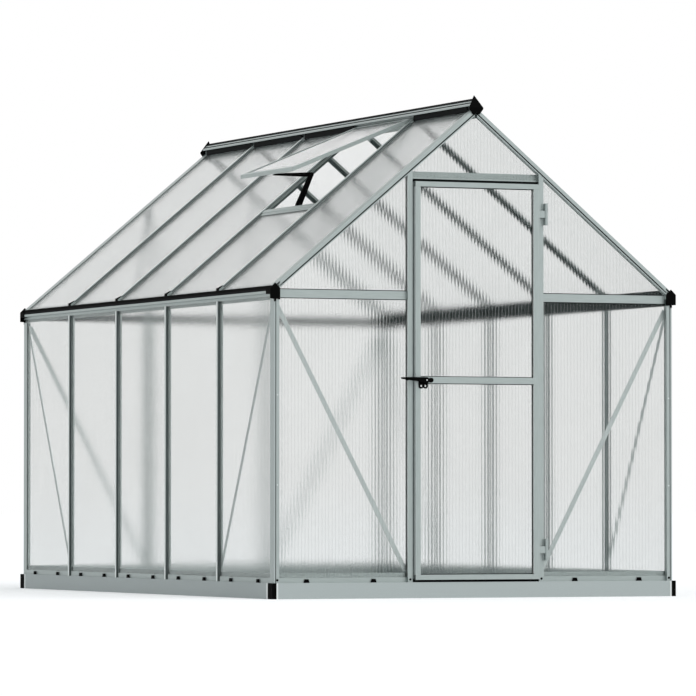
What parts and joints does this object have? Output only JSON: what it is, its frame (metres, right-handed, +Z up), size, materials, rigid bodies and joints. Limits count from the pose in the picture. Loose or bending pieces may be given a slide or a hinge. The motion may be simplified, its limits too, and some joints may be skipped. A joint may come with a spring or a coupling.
{
  "type": "polycarbonate greenhouse",
  "caption": "Gable-roofed garden greenhouse: aluminium sections holding twin-wall sheets on a steel base, with a hinged door, a lever latch and a roof vent held open by a stay.",
  "frame": {"origin": "on the ground, in the middle of the base", "axes": "+X across the door end to the right seen from outside the door, +Y from the door end to the back, +Z up"},
  "size_m": [1.862, 3.0723, 2.098],
  "materials": {
    "aluminium": "mill finish, satin",
    "base_steel": "galvanised, satin",
    "black_plastic": "moulded, matte",
    "twin_wall_sheet": "clear ribbed twin-wall polycarbonate"
  },
  "bodies": {
    "frame": {"base_front_rail": "base_steel", "base_back_rail": "base_steel", "base_left_rail": "base_steel", "base_right_rail": "base_steel", "base_corner_caps": "black_plastic", "side_wall_sills": "aluminium", "gable_wall_sills": "aluminium", "panel_foot_clips": "black_plastic", "corner_posts": "aluminium", "left_wall_studs": "aluminium", "right_wall_studs": "aluminium", "back_wall_studs": "aluminium", "door_jambs": "aluminium", "door_header": "aluminium", "front_cross_rails": "aluminium", "back_cross_rails": "aluminium", "side_wall_braces": "aluminium", "gable_wall_braces": "aluminium", "left_eave_beam": "aluminium", "right_eave_beam": "aluminium", "eave_strips": "black_plastic", "eave_end_caps": "black_plastic", "ridge_beam": "aluminium", "ridge_end_caps": "black_plastic", "front_gable_rafters": "aluminium", "back_gable_rafters": "aluminium", "left_roof_bars": "aluminium", "right_roof_bars": "aluminium", "roof_bar_clips": "black_plastic", "left_wall_panels": "twin_wall_sheet", "right_wall_panels": "twin_wall_sheet", "front_wall_panels": "twin_wall_sheet", "back_wall_panels": "twin_wall_sheet", "front_gable_panels": "twin_wall_sheet", "back_gable_panels": "twin_wall_sheet", "left_roof_panels": "twin_wall_sheet", "right_roof_panels": "twin_wall_sheet", "vent_sill": "aluminium", "vent_frame": "aluminium", "vent_panel": "twin_wall_sheet", "vent_stay": "black_plastic", "jamb_hinge_leaves": "aluminium", "latch_keeper": "black_plastic"},
    "door": {"door_stiles": "aluminium", "door_rails": "aluminium", "door_panels": "twin_wall_sheet", "door_hinge_leaves": "aluminium", "latch_plate": "black_plastic"},
    "latch": {"latch_lever": "black_plastic"}
  },
  "joints": [
    {"name": "door_swing", "type": "hinge", "parent": "frame", "child": "door", "pos_m": [0.3185, -1.525, 0.9], "axis": [0, 0, 1], "range_deg": [0, 160]},
    {"name": "latch_turn", "type": "hinge", "parent": "door", "child": "latch", "pos_m": [-0.24, -1.5413, 0.904], "axis": [0, 1, 0], "range_deg": [0, 90]}
  ]
}
